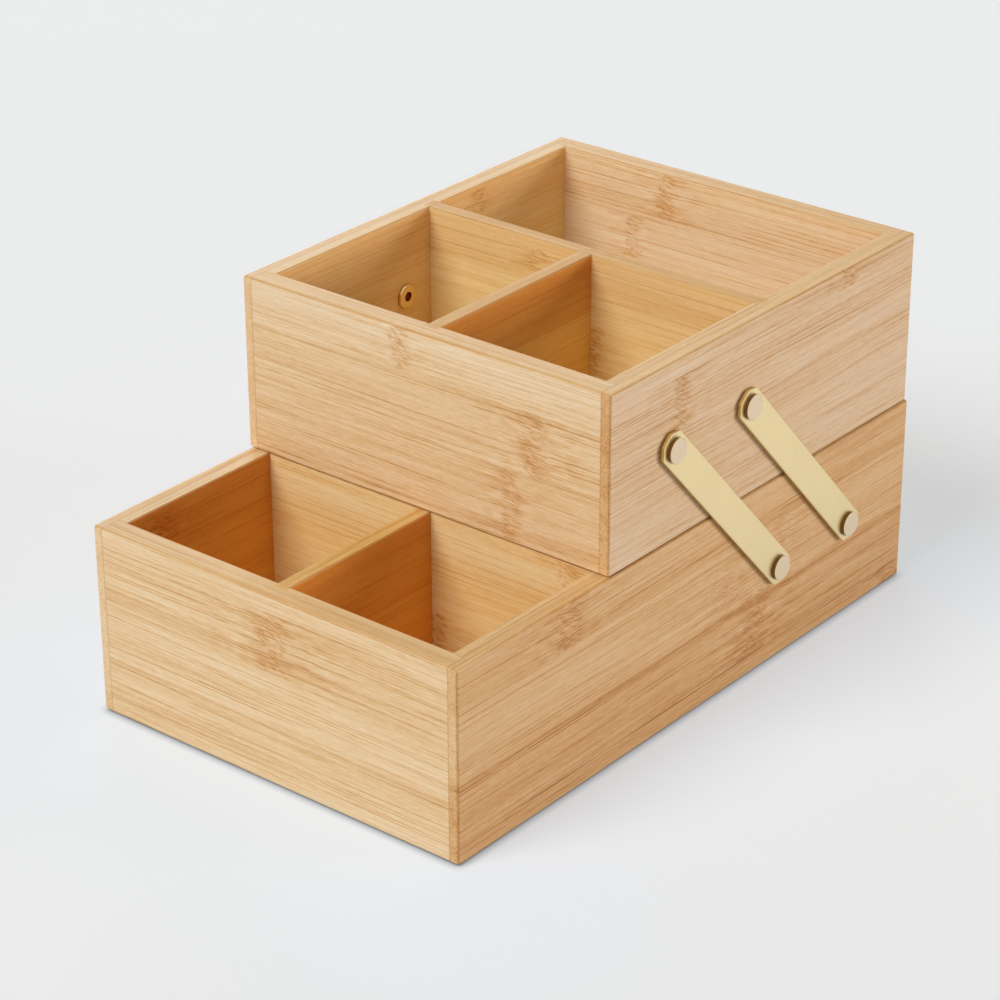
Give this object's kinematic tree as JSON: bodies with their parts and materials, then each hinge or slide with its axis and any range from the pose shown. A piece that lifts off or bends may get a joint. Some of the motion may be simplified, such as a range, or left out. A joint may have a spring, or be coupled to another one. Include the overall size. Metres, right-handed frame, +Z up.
{
  "type": "desk organizer",
  "caption": "Two-tier bamboo desk organizer whose open upper tray swings up and back on flat brass parallel links, baring the lower tray.",
  "frame": {"origin": "on the table under the middle of the lower tray: the centre of the bottom of the overall box", "axes": "+X to the right along the front, +Y from the front to the back, +Z up"},
  "size_m": [0.1884, 0.29, 0.1553],
  "materials": {
    "bamboo_panel": "satin lacquer",
    "bamboo_divider": "satin lacquer",
    "bamboo_floor": "satin lacquer",
    "brass_link": "satin",
    "brass_stud": "satin head, polished edge",
    "brass_post": "polished"
  },
  "bodies": {
    "lower_box": {"lower_front_panel": "bamboo_panel", "lower_rear_panel": "bamboo_panel", "lower_left_side": "bamboo_panel", "lower_right_side": "bamboo_panel", "lower_floor_panel": "bamboo_floor", "lower_cross_panel": "bamboo_divider", "lower_center_divider": "bamboo_divider", "lower_studs": "brass_stud", "lower_posts": "brass_post"},
    "upper_box": {"upper_front_panel": "bamboo_panel", "upper_rear_panel": "bamboo_panel", "upper_left_side": "bamboo_panel", "upper_right_side": "bamboo_panel", "upper_floor_panel": "bamboo_floor", "upper_cross_divider": "bamboo_divider", "upper_short_divider": "bamboo_divider", "upper_studs": "brass_stud", "upper_posts": "brass_post"},
    "left_front_link_arm": {"left_front_link": "brass_link"},
    "left_rear_link_arm": {"left_rear_link": "brass_link"},
    "right_front_link_arm": {"right_front_link": "brass_link"},
    "right_rear_link_arm": {"right_rear_link": "brass_link"}
  },
  "joints": [
    {"name": "tray_lift", "type": "hinge", "parent": "lower_box", "child": "right_rear_link_arm", "pos_m": [0.09175, 0.1, 0.0425], "axis": [-1, 0, 0], "range_deg": [0, 85.27]},
    {"name": "tray_leveling", "type": "hinge", "parent": "right_rear_link_arm", "child": "upper_box", "pos_m": [0.09175, 0.028, 0.1207], "axis": [-1, 0, 0], "range_deg": [-85.27, 0]},
    {"name": "right_front_link_swing", "type": "hinge", "parent": "lower_box", "child": "right_front_link_arm", "pos_m": [0.09175, 0.051, 0.0425], "axis": [-1, 0, 0], "range_deg": [0, 85.27]},
    {"name": "left_rear_link_swing", "type": "hinge", "parent": "lower_box", "child": "left_rear_link_arm", "pos_m": [-0.09175, 0.1, 0.0425], "axis": [-1, 0, 0], "range_deg": [0, 85.27]},
    {"name": "left_front_link_swing", "type": "hinge", "parent": "lower_box", "child": "left_front_link_arm", "pos_m": [-0.09175, 0.051, 0.0425], "axis": [-1, 0, 0], "range_deg": [0, 85.27]}
  ],
  "couplings": [
    {"joint": "tray_leveling", "follows": "tray_lift", "ratio": -1},
    {"joint": "right_front_link_swing", "follows": "tray_lift", "ratio": 1},
    {"joint": "left_rear_link_swing", "follows": "tray_lift", "ratio": 1},
    {"joint": "left_front_link_swing", "follows": "tray_lift", "ratio": 1}
  ]
}
